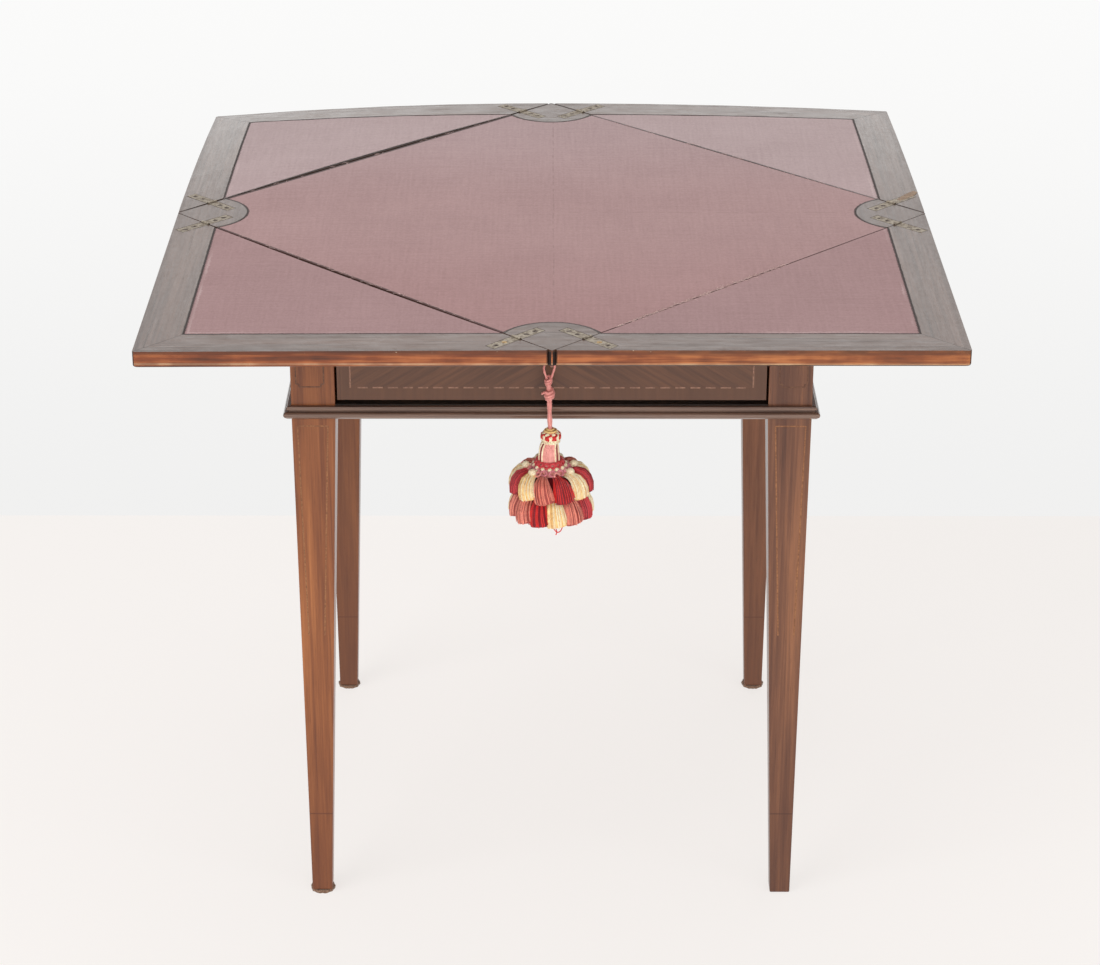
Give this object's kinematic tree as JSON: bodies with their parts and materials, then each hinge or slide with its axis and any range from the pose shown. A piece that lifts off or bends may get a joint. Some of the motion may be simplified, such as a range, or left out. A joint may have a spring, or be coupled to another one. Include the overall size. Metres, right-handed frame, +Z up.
{
  "type": "envelope card table",
  "caption": "Square card table with a turning top whose triangular leaves fold in like an envelope, on tapered legs, with a drawer, key and tassel.",
  "frame": {"origin": "on the floor under the middle of the table", "axes": "+X to the right seen from the drawer side, +Y to the back, +Z up"},
  "size_m": [0.838, 0.838, 0.7298],
  "materials": {
    "mahogany": "old polished mahogany, worn and faded",
    "dark_mahogany": "dark polished mahogany",
    "drawer_lining": "bare old secondary wood",
    "mauve_cloth": "faded mauve baize",
    "aged_brass": "dull, tarnished",
    "old_iron": "dark, dull",
    "worn_felt": "worn felt",
    "rose_silk": "silk in crimson, red, salmon and cream"
  },
  "bodies": {
    "frame": {"leg_front_left": "mahogany", "leg_front_right": "mahogany", "leg_back_left": "mahogany", "leg_back_right": "mahogany", "rail_back": "mahogany", "rail_left": "mahogany", "rail_right": "mahogany", "rail_front_top": "mahogany", "rail_front_bottom": "mahogany", "moulding_front": "dark_mahogany", "moulding_back": "dark_mahogany", "moulding_left": "dark_mahogany", "moulding_right": "dark_mahogany", "drawer_runner_left": "drawer_lining", "drawer_runner_right": "drawer_lining", "pivot_board": "drawer_lining", "felt_pad_front_left": "worn_felt", "felt_pad_back_left": "worn_felt", "felt_pad_back_right": "worn_felt"},
    "top": {"top_board": "mahogany", "top_cloth": "mauve_cloth", "pivot_plate": "old_iron", "pivot_washer": "old_iron", "pivot_nut": "old_iron", "hinge_front_left_a_inner": "aged_brass", "hinge_front_left_b_inner": "aged_brass", "hinge_front_right_a_inner": "aged_brass", "hinge_front_right_b_inner": "aged_brass", "hinge_back_left_a_inner": "aged_brass", "hinge_back_left_b_inner": "aged_brass", "hinge_back_right_a_inner": "aged_brass", "hinge_back_right_b_inner": "aged_brass"},
    "leaf_front_left": {"leaf_front_left": "mahogany", "leaf_cloth_front_left": "mauve_cloth", "hinge_front_left_a_outer": "aged_brass", "hinge_front_left_b_outer": "aged_brass"},
    "leaf_front_right": {"leaf_front_right": "mahogany", "leaf_cloth_front_right": "mauve_cloth", "hinge_front_right_a_outer": "aged_brass", "hinge_front_right_b_outer": "aged_brass"},
    "leaf_back_left": {"leaf_back_left": "mahogany", "leaf_cloth_back_left": "mauve_cloth", "hinge_back_left_a_outer": "aged_brass", "hinge_back_left_b_outer": "aged_brass"},
    "leaf_back_right": {"leaf_back_right": "mahogany", "leaf_cloth_back_right": "mauve_cloth", "hinge_back_right_a_outer": "aged_brass", "hinge_back_right_b_outer": "aged_brass"},
    "drawer": {"drawer_front": "mahogany", "drawer_side_left": "drawer_lining", "drawer_side_right": "drawer_lining", "drawer_back": "drawer_lining", "drawer_bottom": "drawer_lining", "lock_case": "old_iron", "escutcheon": "aged_brass"},
    "bolt": {"lock_bolt": "aged_brass"},
    "key": {"key": "aged_brass"},
    "tassel_cord": {"tassel_cord": "rose_silk"},
    "tassel": {"tassel_head": "rose_silk", "tassel_skirt": "rose_silk"}
  },
  "joints": [
    {"name": "top_swivel", "type": "hinge", "parent": "frame", "child": "top", "pos_m": [0, 0, 0.7105], "axis": [0, 0, 1], "range_deg": [0, 45]},
    {"name": "leaf_fold_front_left", "type": "hinge", "parent": "top", "child": "leaf_front_left", "pos_m": [-0.21018, -0.21018, 0.72835], "axis": [-0.7071, 0.7071, 0], "range_deg": [0, 180]},
    {"name": "leaf_fold_front_right", "type": "hinge", "parent": "top", "child": "leaf_front_right", "pos_m": [0.21018, -0.21018, 0.72835], "axis": [-0.7071, -0.7071, 0], "range_deg": [0, 180]},
    {"name": "leaf_fold_back_left", "type": "hinge", "parent": "top", "child": "leaf_back_left", "pos_m": [-0.21018, 0.21018, 0.72835], "axis": [0.7071, 0.7071, 0], "range_deg": [0, 180]},
    {"name": "leaf_fold_back_right", "type": "hinge", "parent": "top", "child": "leaf_back_right", "pos_m": [0.21018, 0.21018, 0.72835], "axis": [0.7071, -0.7071, 0], "range_deg": [0, 180]},
    {"name": "drawer_slide", "type": "slide", "parent": "frame", "child": "drawer", "axis": [0, -1, 0], "range_m": [0, 0.28]},
    {"name": "key_turn", "type": "hinge", "parent": "drawer", "child": "key", "pos_m": [0, -0.2885, 0.668], "axis": [0, 1, 0], "range_deg": [0, 90]},
    {"name": "bolt_throw", "type": "slide", "parent": "drawer", "child": "bolt", "axis": [0, 0, 1], "range_m": [0, 0.006]},
    {"name": "cord_hang", "type": "hinge", "parent": "key", "child": "tassel_cord", "pos_m": [0, -0.2885, 0.6596], "axis": [0, 1, 0], "range_deg": [-90, 0]},
    {"name": "tassel_swing", "type": "hinge", "parent": "tassel_cord", "child": "tassel", "pos_m": [0, -0.2885, 0.5876], "axis": [1, 0, 0], "range_deg": [-30, 30]}
  ],
  "couplings": [
    {"joint": "bolt_throw", "follows": "key_turn", "m_per_rad": 0.003819},
    {"joint": "cord_hang", "follows": "key_turn", "ratio": -1}
  ]
}
